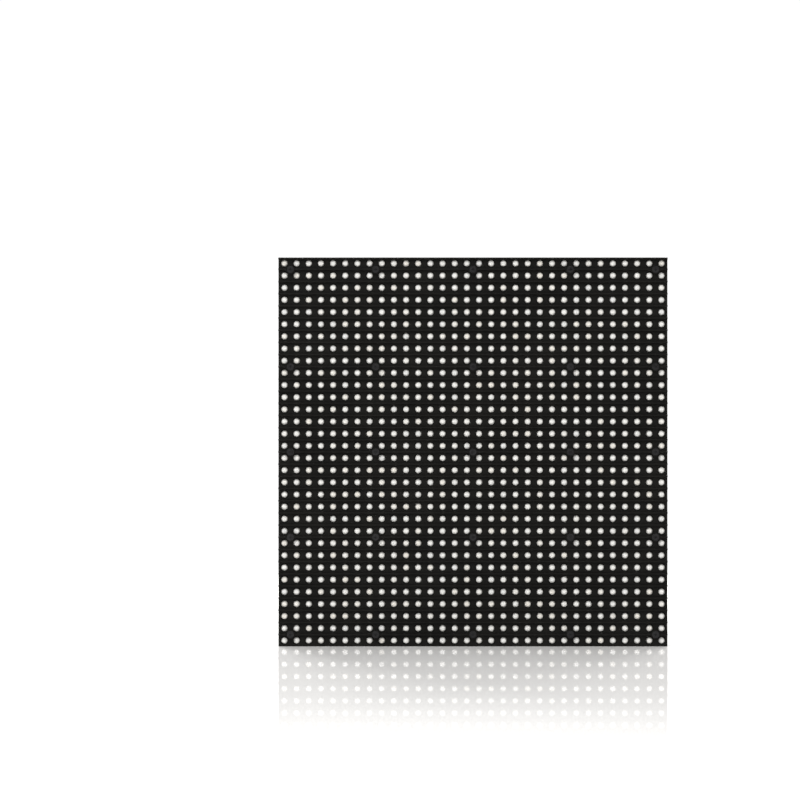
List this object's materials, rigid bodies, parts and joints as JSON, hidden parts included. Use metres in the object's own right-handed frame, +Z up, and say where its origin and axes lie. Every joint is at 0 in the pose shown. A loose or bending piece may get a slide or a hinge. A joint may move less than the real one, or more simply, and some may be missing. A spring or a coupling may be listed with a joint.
{
  "type": "led dot matrix",
  "caption": "Square outdoor LED matrix module: louvred black mask over round white LEDs, green driver board, ribbed case with threaded inserts.",
  "frame": {"origin": "middle of the bottom edge, at the bottom centre of the bounding box", "axes": "+X to the right of someone facing the LEDs, +Y away from them towards the threaded inserts, +Z up"},
  "size_m": [0.1918, 0.0206, 0.1918],
  "materials": {
    "mask": "fine matt texture, black",
    "screw_steel": "dark zinc plate",
    "led_lens": "milky white resin",
    "circuit_board": "green solder mask, semi-gloss",
    "case": "moulded black with a soft sheen",
    "insert_brass": "turned brass",
    "chip_body": "matt moulding compound",
    "tinned_lead": "tinned",
    "connector": "black nylon",
    "header_pin": "plated",
    "can_aluminium": "bright can with a black sector on its top",
    "diode_glass": "red glass with a dark band",
    "capacitor_ceramic": "tan ceramic",
    "resistor_body": "black glaze"
  },
  "bodies": {
    "root": {"mask": "mask", "mask_screws": "screw_steel", "leds_top_left": "led_lens", "leds_top_right": "led_lens", "leds_bottom_left": "led_lens", "leds_bottom_right": "led_lens", "circuit_board": "circuit_board", "bottom_case": "case", "threaded_inserts": "insert_brass", "led_drivers": "chip_body", "led_driver_leads": "tinned_lead", "row_switches": "chip_body", "row_switch_leads": "tinned_lead", "signal_buffers": "chip_body", "signal_buffer_leads": "tinned_lead", "row_decoder": "chip_body", "row_decoder_leads": "tinned_lead", "data_in_header": "connector", "data_in_pins": "header_pin", "data_out_header": "connector", "data_out_pins": "header_pin", "power_header": "connector", "power_pins": "tinned_lead", "capacitor_can": "can_aluminium", "capacitor_base": "connector", "capacitor_leads": "tinned_lead", "diode_bodies": "diode_glass", "diode_caps": "tinned_lead", "chip_capacitors": "capacitor_ceramic", "chip_resistors": "resistor_body", "chip_terminals": "tinned_lead", "resistor_arrays": "resistor_body", "resistor_array_terminals": "tinned_lead"}
  },
  "joints": []
}
